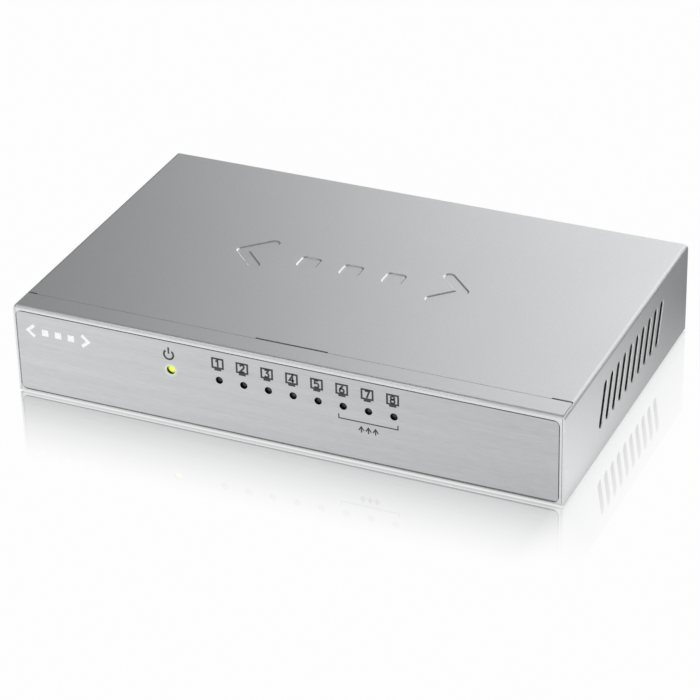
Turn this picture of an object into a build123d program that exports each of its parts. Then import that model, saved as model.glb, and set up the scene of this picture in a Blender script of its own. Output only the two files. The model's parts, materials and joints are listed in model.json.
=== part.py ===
from build123d import *
import math
import os

# Eight-port desktop network switch in a folded sheet-metal case.
# Millimetres. +X runs to the right along the front, +Y to the back, +Z up.
# The origin is on the surface it stands on, under the middle of the case.

# ---- case
WIDTH = 137.0
DEPTH = 85.0
BODY_HEIGHT = 23.0
FOOT_PROUD = 0.4
COVER_SHEET = 0.5
CHASSIS_SHEET = 0.8
SIDE_CLEARANCE = 0.1
TOP_BEND = 1.0
BOTTOM_BEND = 0.6
LIP_DEPTH = 6.43

FRONT_Y = -DEPTH / 2
REAR_Y = DEPTH / 2
UNDER_Z = FOOT_PROUD
TOP_Z = FOOT_PROUD + BODY_HEIGHT
FLOOR_Z = UNDER_Z + CHASSIS_SHEET
CEILING_Z = TOP_Z - COVER_SHEET
COVER_INNER_X = WIDTH / 2 - COVER_SHEET
CHASSIS_HALF = COVER_INNER_X - SIDE_CLEARANCE
SEAM_Y = FRONT_Y + LIP_DEPTH

# ---- seam between the chassis lip and the cover
SEAM_GAP = 0.12
RELIEF_GAP = 0.45
TONGUES = [(-65.5, -8.9), (9.2, 63.0)]
TONGUE_REACH = 4.0

# ---- vents in the cover's side walls
VENT_COUNT = 10
VENT_PITCH = 4.348
VENT_FIRST_Y = -15.25
VENT_LEAN = 3.68
VENT_TOP_Z = 18.02
VENT_BOTTOM_Z = 7.07
VENT_WIDTH = 2.6

# ---- sunk symbol on the top: two angle brackets with three blocks between them
SYMBOL_LENGTH = 60.0
SYMBOL_HEIGHT = 14.5
SYMBOL_CENTRE = (-1.5, 1.4)
SYMBOL_STROKE = 3.0
SYMBOL_DEPTH = 0.25
SYMBOL_BLOCK = 5.2
SYMBOL_BLOCK_PITCH = 11.0
SYMBOL_BLOCK_CORNER = 1.2
SYMBOL_DRAFT = 57.0
SYMBOL_SHOULDER = SYMBOL_DEPTH * math.tan(math.radians(SYMBOL_DRAFT))

# ---- front panel
LABEL_LEFT = -67.72
LABEL_RIGHT = 67.25
LABEL_BOTTOM = 1.04
LABEL_TOP = 22.0
LABEL_CORNER = 1.4
LABEL_THICK = 0.3
LABEL_GAP = 0.15
LED_Z = 14.42
LED_PITCH = 6.191
LED_FIRST_X = -15.28
POWER_LED_X = LED_FIRST_X - 2 * LED_PITCH
LED_COUNT = 8
LED_RADIUS = 1.5
LED_WINDOW_RADIUS = 0.92
POWER_WINDOW_RADIUS = 1.08
LED_TIP_Y = FRONT_Y + 0.4
LED_BASE_Y = FRONT_Y + 6.2
LED_FLANGE_RADIUS = 1.9
LED_FLANGE = 1.0
LEAD = 0.45
LEAD_SPREAD = 1.27

# ---- circuit board
BOARD_Z = 5.2
BOARD_THICK = 1.6
BOARD_TOP = BOARD_Z + BOARD_THICK
BOARD_HALF = 66.0
BOARD_FRONT_Y = FRONT_Y + 3.8
BOARD_REAR_Y = REAR_Y - 1.2
PIN_TIP_Z = 3.8
SCREW_RADIUS = 1.5
BOARD_FIXINGS = [(-46.0, -31.0), (46.0, -31.0), (-45.0, 21.0), (58.0, 21.0)]

# ---- network sockets, two moulded rows of four
PORTS_PER_BLOCK = 4
PORT_PITCH = 13.97
BLOCK_CENTRES = {"left": -26.8, "right": 33.4}
BLOCK_WIDTH = PORTS_PER_BLOCK * PORT_PITCH + 1.0
BLOCK_HEIGHT = 12.8
BLOCK_FACE_Y = REAR_Y - 0.3
BLOCK_BACK_Y = BLOCK_FACE_Y - 15.9
BLOCK_TOP = BOARD_TOP + BLOCK_HEIGHT
CAVITY_WIDTH = 11.8
CAVITY_BOTTOM = 10.1
CAVITY_TOP = 17.0
CAVITY_DEPTH = 12.4
LATCH_WIDTH = 6.2
LATCH_BOTTOM = 8.5
KEY_WIDTH = 3.4
KEY_BOTTOM = 7.7
CONTACTS_PER_PORT = 8
CONTACT_PITCH = 1.02
CONTACT_WIDTH = 0.4
CONTACT_THICK = 0.35
CONTACT_SLOT = 0.6
CONTACT_LEG_Y = BLOCK_BACK_Y + 1.3
CONTACT_RUN_TOP = 18.6
CONTACT_NOSE_Y = BLOCK_FACE_Y - 4.6
CONTACT_TIP_Y = BLOCK_FACE_Y - 11.2
CONTACT_TIP_Z = 12.9
SHIELD_SHEET = 0.25
PEG_RADIUS = 1.6

# ---- power socket
JACK_X = -62.0
JACK_WIDTH = 9.0
JACK_HEIGHT = 11.0
JACK_DEPTH = 14.2
JACK_AXIS_Z = BOARD_TOP + 6.5
JACK_BORE_RADIUS = 3.15
JACK_BORE_DEPTH = 10.0
JACK_PIN_RADIUS = 1.0
JACK_SPRING_Y = BLOCK_FACE_Y - 9.2

# ---- components on the board
TRANSFORMER_Y = 14.5
SWITCH_CHIP = (3.3, -9.5)

# ---- feet, wall hooks and case screws
FOOT_CENTRES = [(x, y) for x in (-56.0, 56.0) for y in (-33.0, 33.0)]
FOOT_RADIUS = 4.5
FOOT_THICK = 0.9
FOOT_RECESS_RADIUS = 4.8
KEYHOLE_SPACING = 80.0
KEYHOLE_Y = 4.0
KEYHOLE_HEAD_RADIUS = 3.75
KEYHOLE_SLOT_WIDTH = 3.8
KEYHOLE_SLOT_REACH = 7.0
CASE_SCREWS = [(x, y) for x in (-61.5, 61.5) for y in (-16.0, 8.0)]
CASE_RECESS_RADIUS = 4.0
CASE_RECESS_DEPTH = 0.9
TAB_WIDTH = 10.0
TAB_INNER_X = 57.0


def block(x0, x1, y0, y1, z0, z1):
    """Rectangular solid between two corners."""
    return Pos((x0 + x1) / 2, (y0 + y1) / 2, (z0 + z1) / 2) * Box(x1 - x0, y1 - y0, z1 - z0)


def post(x, y, z0, z1, radius):
    """Upright cylinder."""
    return Pos(x, y, (z0 + z1) / 2) * Cylinder(radius, z1 - z0)


def rod(x, z, y0, y1, radius):
    """Cylinder that lies front to back."""
    return Pos(x, (y0 + y1) / 2, z) * Rot(90, 0, 0) * Cylinder(radius, y1 - y0)


def side_profile(points, x, width):
    """Closed outline of (y, z) points, given a width along X about x."""
    outline = Polyline(*[(0, y, z) for y, z in points], close=True)
    face = make_face(outline)
    return Pos(x, 0, 0) * extrude(face, amount=width / 2, dir=(1, 0, 0), both=True)


def led_positions():
    """X of each port light, left to right."""
    return [LED_FIRST_X + LED_PITCH * i for i in range(LED_COUNT)]


def port_positions(side):
    """X of each socket in one moulded row."""
    middle = (PORTS_PER_BLOCK - 1) / 2
    return [BLOCK_CENTRES[side] + PORT_PITCH * (i - middle) for i in range(PORTS_PER_BLOCK)]


def contact_positions(side):
    """X of each contact in one moulded row."""
    middle = (CONTACTS_PER_PORT - 1) / 2
    offsets = [CONTACT_PITCH * (i - middle) for i in range(CONTACTS_PER_PORT)]
    return [x + offset for x in port_positions(side) for offset in offsets]


def cross_recess(x, y, z_open, depth, length, width):
    """Cross-head driver recess; a negative depth cuts downwards from z_open."""
    low = min(z_open, z_open + depth)
    high = max(z_open, z_open + depth)
    arms = block(x - length / 2, x + length / 2, y - width / 2, y + width / 2, low, high)
    return arms + block(x - width / 2, x + width / 2, y - length / 2, y + length / 2, low, high)


# ---------------------------------------------------------------- sheet metal

def long_edge(solid, y, z):
    """Edge along X that lies nearest to (y, z)."""
    edges = solid.edges().filter_by(Axis.X)
    return edges.sort_by(lambda edge: abs(edge.center().Y - y) + abs(edge.center().Z - z))[0]


def chassis_shell():
    """Floor, front wall, folded lip and rear wall in one strip of sheet."""
    y_mid = (FRONT_Y + REAR_Y) / 2
    z_mid = (UNDER_Z + TOP_Z) / 2
    outer = Pos(0, y_mid, z_mid) * Box(2 * CHASSIS_HALF, DEPTH, BODY_HEIGHT)
    inner_depth = DEPTH - 2 * CHASSIS_SHEET
    inner_height = BODY_HEIGHT - 2 * CHASSIS_SHEET
    inner = Pos(0, y_mid, z_mid) * Box(2 * CHASSIS_HALF + 2, inner_depth, inner_height)
    outer = fillet([long_edge(outer, FRONT_Y, UNDER_Z), long_edge(outer, REAR_Y, UNDER_Z)], BOTTOM_BEND)
    outer = fillet(long_edge(outer, FRONT_Y, TOP_Z), TOP_BEND)
    inner_corner = long_edge(inner, FRONT_Y + CHASSIS_SHEET, TOP_Z - CHASSIS_SHEET)
    inner = fillet(inner_corner, TOP_BEND - CHASSIS_SHEET)
    shell = outer - inner
    mouth = block(-WIDTH, WIDTH, SEAM_Y - SEAM_GAP, REAR_Y - CHASSIS_SHEET, CEILING_Z - 1, TOP_Z + 1)
    under_cover = block(-WIDTH, WIDTH, REAR_Y - 2, REAR_Y + 1, CEILING_Z - 0.1, TOP_Z + 1)
    return shell.cut(mouth, under_cover)


def chassis():
    """Lower half of the case with every opening, dimple and flange."""
    body = chassis_shell()
    additions = []
    cuts = []
    # low flanges stiffen the floor's edges and step aside for the cover's tabs
    for sign in (-1, 1):
        x_out = sign * CHASSIS_HALF
        x_in = sign * (CHASSIS_HALF - CHASSIS_SHEET)
        additions.append(block(min(x_out, x_in), max(x_out, x_in), -36, 36, FLOOR_Z - 0.2, 4.6))
    for x, y in CASE_SCREWS:
        reach = CHASSIS_HALF + 1 if x > 0 else -CHASSIS_HALF - 1
        low, high = min(x, reach), max(x, reach)
        cuts.append(block(low, high, y - TAB_WIDTH / 2 - 0.5, y + TAB_WIDTH / 2 + 0.5, FLOOR_Z, 6))
    body = body.fuse(*additions).cut(*cuts)

    additions = []
    cuts = []
    for x, y in FOOT_CENTRES:
        dimple_top = FLOOR_Z + FOOT_THICK - FOOT_PROUD
        additions.append(post(x, y, FLOOR_Z - 0.1, dimple_top, FOOT_RECESS_RADIUS + 0.6))
        cuts.append(post(x, y, UNDER_Z - 1, FOOT_THICK, FOOT_RECESS_RADIUS))
    for x, y in CASE_SCREWS:
        additions.append(post(x, y, FLOOR_Z - 0.1, FLOOR_Z + CASE_RECESS_DEPTH, CASE_RECESS_RADIUS + 0.8))
        cuts.append(post(x, y, UNDER_Z - 1, UNDER_Z + CASE_RECESS_DEPTH, CASE_RECESS_RADIUS))
        cuts.append(post(x, y, UNDER_Z - 1, FLOOR_Z + 2, SCREW_RADIUS + 0.2))
    for x, y in BOARD_FIXINGS:
        cuts.append(post(x, y, UNDER_Z - 1, FLOOR_Z + 1, 2.1))
    for x in (-KEYHOLE_SPACING / 2, KEYHOLE_SPACING / 2):
        half = KEYHOLE_SLOT_WIDTH / 2
        end_y = KEYHOLE_Y + KEYHOLE_SLOT_REACH
        cuts.append(post(x, KEYHOLE_Y, UNDER_Z - 1, FLOOR_Z + 1, KEYHOLE_HEAD_RADIUS))
        cuts.append(block(x - half, x + half, KEYHOLE_Y, end_y, UNDER_Z - 1, FLOOR_Z + 1))
        cuts.append(post(x, end_y, UNDER_Z - 1, FLOOR_Z + 1, half))
    # rear wall: a window for each row of sockets and one for the power socket
    for centre in BLOCK_CENTRES.values():
        half = BLOCK_WIDTH / 2 + SHIELD_SHEET + 0.2
        cuts.append(block(centre - half, centre + half, REAR_Y - 2, REAR_Y + 1,
                          BOARD_TOP - 0.2, BLOCK_TOP + 0.5))
    half = JACK_WIDTH / 2 + 0.2
    cuts.append(block(JACK_X - half, JACK_X + half, REAR_Y - 2, REAR_Y + 1,
                      BOARD_TOP - 0.2, BOARD_TOP + JACK_HEIGHT + 0.3))
    # front wall: shallow bed for the label, and a hole for every light
    cuts.append(label_plate(LABEL_GAP, LABEL_THICK))
    for x in [POWER_LED_X] + led_positions():
        cuts.append(rod(x, LED_Z, FRONT_Y - 1, FRONT_Y + 2, LED_RADIUS + 0.15))
    return body.fuse(*additions).cut(*cuts)


def label_plate(grow, thick):
    """Rounded plate on the front face, sunk by its own thickness."""
    width = LABEL_RIGHT - LABEL_LEFT + 2 * grow
    height = LABEL_TOP - LABEL_BOTTOM + 2 * grow
    middle = ((LABEL_RIGHT + LABEL_LEFT) / 2, FRONT_Y, (LABEL_TOP + LABEL_BOTTOM) / 2)
    plane = Plane(origin=middle, x_dir=(1, 0, 0), z_dir=(0, -1, 0))
    return extrude(plane * RectangleRounded(width, height, LABEL_CORNER + grow), amount=-thick)


def sunk_symbol(grow, z_low, z_high):
    """Angle bracket, three blocks and angle bracket, as prisms that widen upwards."""
    rise = z_high - z_low
    x_mid, y_mid = SYMBOL_CENTRE
    arm = SYMBOL_HEIGHT / 2
    prisms = []
    for sign in (-1, 1):
        tip_x = x_mid + sign * (SYMBOL_LENGTH / 2 - SYMBOL_STROKE / 2)
        back_x = tip_x - sign * (arm - SYMBOL_STROKE / 2)
        for y_end in (-1, 1):
            run = Vector(back_x - tip_x, y_end * (arm - SYMBOL_STROKE / 2))
            centre = (tip_x + run.X / 2, y_mid + run.Y / 2)
            angle = math.degrees(math.atan2(run.Y, run.X))
            length = run.length + SYMBOL_STROKE + 2 * grow
            slot = SlotOverall(length, SYMBOL_STROKE + 2 * grow)
            prism = extrude(slot, amount=rise, taper=-SYMBOL_DRAFT)
            prisms.append(Pos(centre[0], centre[1], z_low) * Rot(0, 0, angle) * prism)
    for i in (-1, 0, 1):
        side = SYMBOL_BLOCK + 2 * grow
        square = RectangleRounded(side, side, SYMBOL_BLOCK_CORNER + grow)
        prism = extrude(square, amount=rise, taper=-SYMBOL_DRAFT)
        prisms.append(Pos(x_mid + i * SYMBOL_BLOCK_PITCH, y_mid, z_low) * prism)
    return prisms


def vent_cutters():
    """Leaning slots right through both side walls."""
    rise = VENT_TOP_Z - VENT_BOTTOM_Z
    length = math.hypot(rise, VENT_LEAN)
    angle = math.degrees(math.atan2(rise, VENT_LEAN))
    cutters = []
    for i in range(VENT_COUNT):
        y = VENT_FIRST_Y + VENT_PITCH * i - VENT_LEAN / 2
        plane = Plane(origin=(0, y, (VENT_TOP_Z + VENT_BOTTOM_Z) / 2), x_dir=(0, 1, 0), z_dir=(1, 0, 0))
        slot = plane * Rot(0, 0, angle) * SlotOverall(length, VENT_WIDTH)
        cutters.append(extrude(slot, amount=WIDTH, both=True))
    return cutters


def cover():
    """Upper half of the case: top, side walls, tongues, welded tabs and vents."""
    outer = block(-WIDTH / 2, WIDTH / 2, FRONT_Y, REAR_Y, UNDER_Z, TOP_Z)
    outer = fillet(outer.edges().filter_by(Axis.Y).sort_by(Axis.Z)[-2:], TOP_BEND)
    inner = block(-COVER_INNER_X, COVER_INNER_X, FRONT_Y - 1, REAR_Y + 1, UNDER_Z - 5, CEILING_Z)
    inner = fillet(inner.edges().filter_by(Axis.Y).sort_by(Axis.Z)[-2:], TOP_BEND - COVER_SHEET)
    body = outer - inner
    cuts = [block(-COVER_INNER_X, COVER_INNER_X, FRONT_Y - 1, SEAM_Y, CEILING_Z - 1, TOP_Z + 1)]
    # the cut edge stands back wherever no tongue fills the seam
    edges = [-COVER_INNER_X] + [x for tongue in TONGUES for x in tongue] + [COVER_INNER_X]
    for x0, x1 in zip(edges[0::2], edges[1::2]):
        cuts.append(block(x0, x1, SEAM_Y - 1, SEAM_Y + RELIEF_GAP, CEILING_Z - 1, TOP_Z + 1))
    cuts += vent_cutters()
    additions = sunk_symbol(0.1, CEILING_Z - SYMBOL_DEPTH, CEILING_Z + 0.05)
    under_lip = TOP_Z - CHASSIS_SHEET - 0.1
    for x0, x1 in TONGUES:
        outline = [(SEAM_Y + 1.2, CEILING_Z + 0.3), (SEAM_Y, CEILING_Z + 0.3), (SEAM_Y, under_lip),
                   (SEAM_Y - TONGUE_REACH, under_lip), (SEAM_Y - TONGUE_REACH, under_lip - COVER_SHEET),
                   (SEAM_Y + 0.6, under_lip - COVER_SHEET), (SEAM_Y + 1.2, CEILING_Z)]
        additions.append(side_profile(outline, (x0 + x1) / 2, x1 - x0))
    tab_z = FLOOR_Z + CASE_RECESS_DEPTH
    holes = []
    for x, y in CASE_SCREWS:
        x0, x1 = sorted((math.copysign(TAB_INNER_X, x), math.copysign(COVER_INNER_X + 0.3, x)))
        additions.append(block(x0, x1, y - TAB_WIDTH / 2, y + TAB_WIDTH / 2, tab_z, tab_z + COVER_SHEET))
        additions.append(post(x, y, tab_z, tab_z + COVER_SHEET + 1.3, SCREW_RADIUS + 1.0))
        holes.append(post(x, y, tab_z - 1, tab_z + 4, SCREW_RADIUS))
    body = body.cut(*cuts).fuse(*additions)
    return body.cut(*holes, *sunk_symbol(-SYMBOL_SHOULDER, TOP_Z - SYMBOL_DEPTH, TOP_Z + 0.05))


def front_label():
    """Thin brushed overlay with a round window for every light."""
    windows = [rod(x, LED_Z, FRONT_Y - 1, FRONT_Y + 1, LED_WINDOW_RADIUS) for x in led_positions()]
    windows.append(rod(POWER_LED_X, LED_Z, FRONT_Y - 1, FRONT_Y + 1, POWER_WINDOW_RADIUS))
    return label_plate(0, LABEL_THICK).cut(*windows)


# ---------------------------------------------------------------- lights

def light(x):
    """Domed 3 mm light that faces the front, with a flange at its base."""
    dome_y = LED_TIP_Y + LED_RADIUS
    flange_y = LED_BASE_Y - LED_FLANGE
    dome = Pos(x, dome_y, LED_Z) * Sphere(LED_RADIUS)
    barrel = rod(x, LED_Z, dome_y, flange_y, LED_RADIUS)
    return dome + barrel + rod(x, LED_Z, flange_y, LED_BASE_Y, LED_FLANGE_RADIUS)


def light_leads(x):
    """Two square wires that run back from a light and down through the board."""
    drop_y = LED_BASE_Y + 3.1
    outline = [(LED_BASE_Y, LED_Z + LEAD / 2), (drop_y, LED_Z + LEAD / 2), (drop_y, PIN_TIP_Z),
               (drop_y - LEAD, PIN_TIP_Z), (drop_y - LEAD, LED_Z - LEAD / 2), (LED_BASE_Y, LED_Z - LEAD / 2)]
    return [side_profile(outline, x + offset, LEAD) for offset in (-LEAD_SPREAD, LEAD_SPREAD)]


def light_holder():
    """Moulded bar that holds all nine lights level behind the front wall."""
    lights = [POWER_LED_X] + led_positions()
    x0, x1 = lights[0] - 3.2, lights[-1] + 3.2
    flange_y = LED_BASE_Y - LED_FLANGE
    bar = block(x0, x1, FRONT_Y + 2.6, FRONT_Y + 8.2, BOARD_TOP, LED_Z + 2.8)
    bar = chamfer(bar.edges().filter_by(Axis.X).sort_by(Axis.Z)[-2:], 0.5)
    cuts = []
    for x in lights:
        cuts.append(rod(x, LED_Z, FRONT_Y, flange_y, LED_RADIUS + 0.05))
        cuts.append(rod(x, LED_Z, flange_y, FRONT_Y + 9, LED_FLANGE_RADIUS + 0.05))
    # hollow pockets between the bores keep the moulding's walls even
    gaps = [(a + b) / 2 for a, b in zip(lights, lights[1:])]
    for x in gaps[1:]:
        cuts.append(block(x - 0.6, x + 0.6, FRONT_Y + 3.6, FRONT_Y + 7.2, BOARD_TOP - 1, LED_Z + 1.4))
    pegs = [post(x, FRONT_Y + 5.4, BOARD_Z - 0.6, BOARD_TOP + 0.2, 1.0) for x in holder_peg_positions()]
    return bar.cut(*cuts).fuse(*pegs)


def holder_peg_positions():
    """X of the two pegs under the light holder."""
    return [POWER_LED_X + LED_PITCH, LED_FIRST_X + LED_PITCH * (LED_COUNT - 1) + 1.6]


# ---------------------------------------------------------------- network sockets

def port_block(side):
    """Moulded row of four sockets, with slots for its contacts and two pegs."""
    centre = BLOCK_CENTRES[side]
    half = BLOCK_WIDTH / 2
    body = block(centre - half, centre + half, BLOCK_BACK_Y, BLOCK_FACE_Y, BOARD_TOP, BLOCK_TOP)
    end_y = BLOCK_FACE_Y - CAVITY_DEPTH
    cuts = []
    for x in port_positions(side):
        for width, low, high in ((CAVITY_WIDTH, CAVITY_BOTTOM, CAVITY_TOP),
                                 (LATCH_WIDTH, LATCH_BOTTOM, CAVITY_BOTTOM + 0.1),
                                 (KEY_WIDTH, KEY_BOTTOM, LATCH_BOTTOM + 0.1)):
            cuts.append(block(x - width / 2, x + width / 2, end_y, BLOCK_FACE_Y + 1, low, high))
    for x in contact_positions(side):
        x0, x1 = x - CONTACT_SLOT / 2, x + CONTACT_SLOT / 2
        cuts.append(block(x0, x1, CONTACT_LEG_Y - 0.15, CONTACT_NOSE_Y + 0.5,
                          CAVITY_TOP - 0.1, BLOCK_TOP + 1))
        cuts.append(block(x0, x1, CONTACT_LEG_Y - 0.15, CONTACT_LEG_Y + 0.5, BOARD_TOP - 1, BLOCK_TOP + 1))
    pegs = [post(x, y, BOARD_Z - 0.8, BOARD_TOP + 0.2, PEG_RADIUS) for x, y in block_pegs(side)]
    return body.cut(*cuts).fuse(*pegs)


def block_pegs(side):
    """Centres of the two locating pegs under a row of sockets."""
    return [(BLOCK_CENTRES[side] + offset, BLOCK_FACE_Y - 8.0) for offset in (-PORT_PITCH, PORT_PITCH)]


def port_contacts(side):
    """Sprung wires: a leg through the board, a run forward and a slope back into the socket."""
    slope_y = CONTACT_TIP_Y - CONTACT_NOSE_Y
    slope_z = CONTACT_TIP_Z - (CONTACT_RUN_TOP - 0.3)
    length = math.hypot(slope_y, slope_z)
    across_y = slope_z / length * CONTACT_THICK
    across_z = -slope_y / length * CONTACT_THICK
    run_low = CONTACT_RUN_TOP - CONTACT_THICK
    inner_tip = (CONTACT_TIP_Y + across_y, CONTACT_TIP_Z + across_z)
    fold_y = inner_tip[0] + (run_low - inner_tip[1]) * slope_y / slope_z
    outline = [(CONTACT_LEG_Y, PIN_TIP_Z), (CONTACT_LEG_Y, CONTACT_RUN_TOP),
               (CONTACT_NOSE_Y - 0.3, CONTACT_RUN_TOP), (CONTACT_NOSE_Y, CONTACT_RUN_TOP - 0.3),
               (CONTACT_TIP_Y, CONTACT_TIP_Z), inner_tip, (fold_y, run_low),
               (CONTACT_LEG_Y + CONTACT_THICK, run_low), (CONTACT_LEG_Y + CONTACT_THICK, PIN_TIP_Z)]
    return [side_profile(outline, x, CONTACT_WIDTH) for x in contact_positions(side)]


def shield_pins(side):
    """Centres of the four board pins of a socket shield."""
    half = BLOCK_WIDTH / 2 + SHIELD_SHEET / 2
    rows = (BLOCK_BACK_Y + 4, BLOCK_FACE_Y - 4)
    return [(BLOCK_CENTRES[side] + sign * half, y) for sign in (-1, 1) for y in rows]


def port_shield(side):
    """Folded plated can over the top, ends and face of a row of sockets."""
    centre = BLOCK_CENTRES[side]
    half = BLOCK_WIDTH / 2
    body = block(centre - half - SHIELD_SHEET, centre + half + SHIELD_SHEET,
                 BLOCK_BACK_Y, BLOCK_FACE_Y + SHIELD_SHEET, BOARD_TOP, BLOCK_TOP + SHIELD_SHEET)
    cuts = [block(centre - half, centre + half, BLOCK_BACK_Y - 1, BLOCK_FACE_Y, BOARD_TOP - 1, BLOCK_TOP)]
    for x in port_positions(side):
        for width, low, high in ((CAVITY_WIDTH, CAVITY_BOTTOM, CAVITY_TOP),
                                 (LATCH_WIDTH, LATCH_BOTTOM, CAVITY_BOTTOM + 0.1),
                                 (KEY_WIDTH, KEY_BOTTOM, LATCH_BOTTOM + 0.1)):
            cuts.append(block(x - width / 2, x + width / 2, BLOCK_FACE_Y - 1, REAR_Y + 1, low, high))
    pins = [block(x - SHIELD_SHEET / 2, x + SHIELD_SHEET / 2, y - 0.8, y + 0.8, PIN_TIP_Z, BOARD_TOP + 0.5)
            for x, y in shield_pins(side)]
    return body.cut(*cuts).fuse(*pins)


# ---------------------------------------------------------------- power socket

def jack_housing():
    """Moulded barrel socket, bored from the rear, with a slot for its side spring."""
    half = JACK_WIDTH / 2
    front_y = BLOCK_FACE_Y - JACK_DEPTH
    body = block(JACK_X - half, JACK_X + half, front_y, BLOCK_FACE_Y, BOARD_TOP, BOARD_TOP + JACK_HEIGHT)
    body = fillet(body.edges().filter_by(Axis.Y).sort_by(Axis.Z)[-2:], 1.6)
    return body.cut(
        rod(JACK_X, JACK_AXIS_Z, BLOCK_FACE_Y - JACK_BORE_DEPTH, BLOCK_FACE_Y + 1, JACK_BORE_RADIUS),
        rod(JACK_X, JACK_AXIS_Z, front_y - 1, BLOCK_FACE_Y, 0.8),
        block(JACK_X - 1.5, JACK_X + 1.5, JACK_SPRING_Y - 0.3, BLOCK_FACE_Y - 2.6,
              BOARD_TOP - 1, JACK_AXIS_Z))


def jack_pin():
    """Centre pin with a reduced shank and a flat terminal behind the housing."""
    bore_end = BLOCK_FACE_Y - JACK_BORE_DEPTH
    tip_y = BLOCK_FACE_Y - 1.0
    back_y = BLOCK_FACE_Y - JACK_DEPTH
    pin = rod(JACK_X, JACK_AXIS_Z, bore_end, tip_y, JACK_PIN_RADIUS)
    pin = chamfer(pin.edges().sort_by(Axis.Y)[-1], 0.3)
    shank = rod(JACK_X, JACK_AXIS_Z, back_y - 0.3, bore_end + 0.1, 0.8)
    terminal = block(JACK_X - 1.3, JACK_X + 1.3, back_y - 0.6, back_y, BOARD_TOP, JACK_AXIS_Z + 1.4)
    blade = block(JACK_X - 0.8, JACK_X + 0.8, back_y - 0.6, back_y - 0.1, PIN_TIP_Z, BOARD_TOP + 0.2)
    return pin + shank + terminal + blade


def jack_spring():
    """Leaf that rises from the board and bows into the bottom of the bore."""
    y = JACK_SPRING_Y
    low = JACK_AXIS_Z - JACK_BORE_RADIUS
    outline = [(y, PIN_TIP_Z), (y, low - 0.6), (y + 3.2, low + 0.45), (y + 5.2, low - 0.35),
               (y + 5.2, low - 0.7), (y + 3.2, low + 0.1), (y + 0.4, low - 0.85), (y + 0.4, PIN_TIP_Z)]
    return side_profile(outline, JACK_X, 2.4)


# ---------------------------------------------------------------- board and its components

def gull_wing_chip(x, y, size_x, size_y, height, pins_x, pins_y, pitch, pin_width):
    """Moulded chip with bent leads; pins_x sit on its front and back, pins_y on its sides."""
    low = BOARD_TOP + 0.12
    body = block(x - size_x / 2, x + size_x / 2, y - size_y / 2, y + size_y / 2, low, low + height)
    body = chamfer(body.faces().sort_by(Axis.Z)[-1].edges(), min(0.25, height / 5))
    mid = low + height / 2
    leads = []

    def lead(along_x, sign, offset, reach):
        """One lead: out from the body, down, and a foot on the board."""
        start, out = reach - 0.2, reach + 0.9
        spans = ((start, reach + 0.5, mid - 0.09, mid + 0.09),
                 (reach + 0.32, reach + 0.5, BOARD_TOP, mid + 0.09),
                 (reach + 0.32, out, BOARD_TOP, BOARD_TOP + 0.15))
        for near, far, z0, z1 in spans:
            a, b = sorted((sign * near, sign * far))
            c, d = offset - pin_width / 2, offset + pin_width / 2
            if along_x:
                leads.append(block(x + a, x + b, y + c, y + d, z0, z1))
            else:
                leads.append(block(x + c, x + d, y + a, y + b, z0, z1))

    for count, along_x, reach in ((pins_x, False, size_y / 2), (pins_y, True, size_x / 2)):
        for i in range(count):
            offset = pitch * (i - (count - 1) / 2)
            for sign in (-1, 1):
                lead(along_x, sign, offset, reach)
    return body.fuse(*leads)


def capacitor_can(x, y, radius, height):
    """Aluminium can with a crimped waist on a square base."""
    base = block(x - radius - 0.15, x + radius + 0.15, y - radius - 0.15, y + radius + 0.15,
                 BOARD_TOP, BOARD_TOP + 0.8)
    can = post(x, y, BOARD_TOP + 0.8, BOARD_TOP + height, radius)
    can = fillet(can.edges().sort_by(Axis.Z)[-1], 0.5)
    groove = post(x, y, BOARD_TOP + 1.6, BOARD_TOP + 2.2, radius + 1)
    waist = post(x, y, BOARD_TOP, BOARD_TOP + 3, radius - 0.3)
    return (can - (groove - waist)) + base


def power_inductor(x, y):
    """Shielded coil in a square ferrite block with a round window on top."""
    body = block(x - 3.65, x + 3.65, y - 3.65, y + 3.65, BOARD_TOP, BOARD_TOP + 4.0)
    body = chamfer(body.edges().filter_by(Axis.Z), 0.9)
    window = post(x, y, BOARD_TOP + 3.6, BOARD_TOP + 5, 2.6)
    coil = post(x, y, BOARD_TOP + 3, BOARD_TOP + 3.9, 1.9)
    return body - window + coil


def crystal_can(x, y):
    """Low metal crystal can with rounded ends on a flange."""
    can = extrude(SlotOverall(10.6, 3.9), amount=3.3)
    flange = extrude(SlotOverall(11.4, 4.7), amount=0.5)
    can = fillet(can.faces().sort_by(Axis.Z)[-1].edges(), 0.5)
    return Pos(x, y, BOARD_TOP) * (can + flange)


def chip_part(x, y, size_x, size_y, height):
    """Small surface-mounted block."""
    half_x, half_y = size_x / 2, size_y / 2
    return block(x - half_x, x + half_x, y - half_y, y + half_y, BOARD_TOP, BOARD_TOP + height)


def chip_capacitors():
    """Bypass capacitors round the switch chip and along each row of sockets."""
    x, y = SWITCH_CHIP
    spots = [(x + dx, y + dy) for dx in (-14.0, 14.0) for dy in (-6, -2, 2, 6)]
    spots += [(x + dx, y + 11.5) for dx in (-9, -4.5, 0, 4.5, 9)]
    for centre in BLOCK_CENTRES.values():
        spots += [(centre + PORT_PITCH * (i - 1.5), BLOCK_BACK_Y - 1.6) for i in range(PORTS_PER_BLOCK)]
    return [chip_part(px, py, 1.6, 0.8, 0.8) for px, py in spots]


def chip_resistors():
    """Series resistors for the lights and terminations by the transformers."""
    spots = [(x, BOARD_FRONT_Y + 9.0) for x in [POWER_LED_X] + led_positions()]
    for centre in BLOCK_CENTRES.values():
        spots += [(centre + 2.8 * (i - 3.5), TRANSFORMER_Y - 10.2) for i in range(8)]
    return [chip_part(px, py, 0.8, 1.6, 0.5) for px, py in spots]


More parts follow.
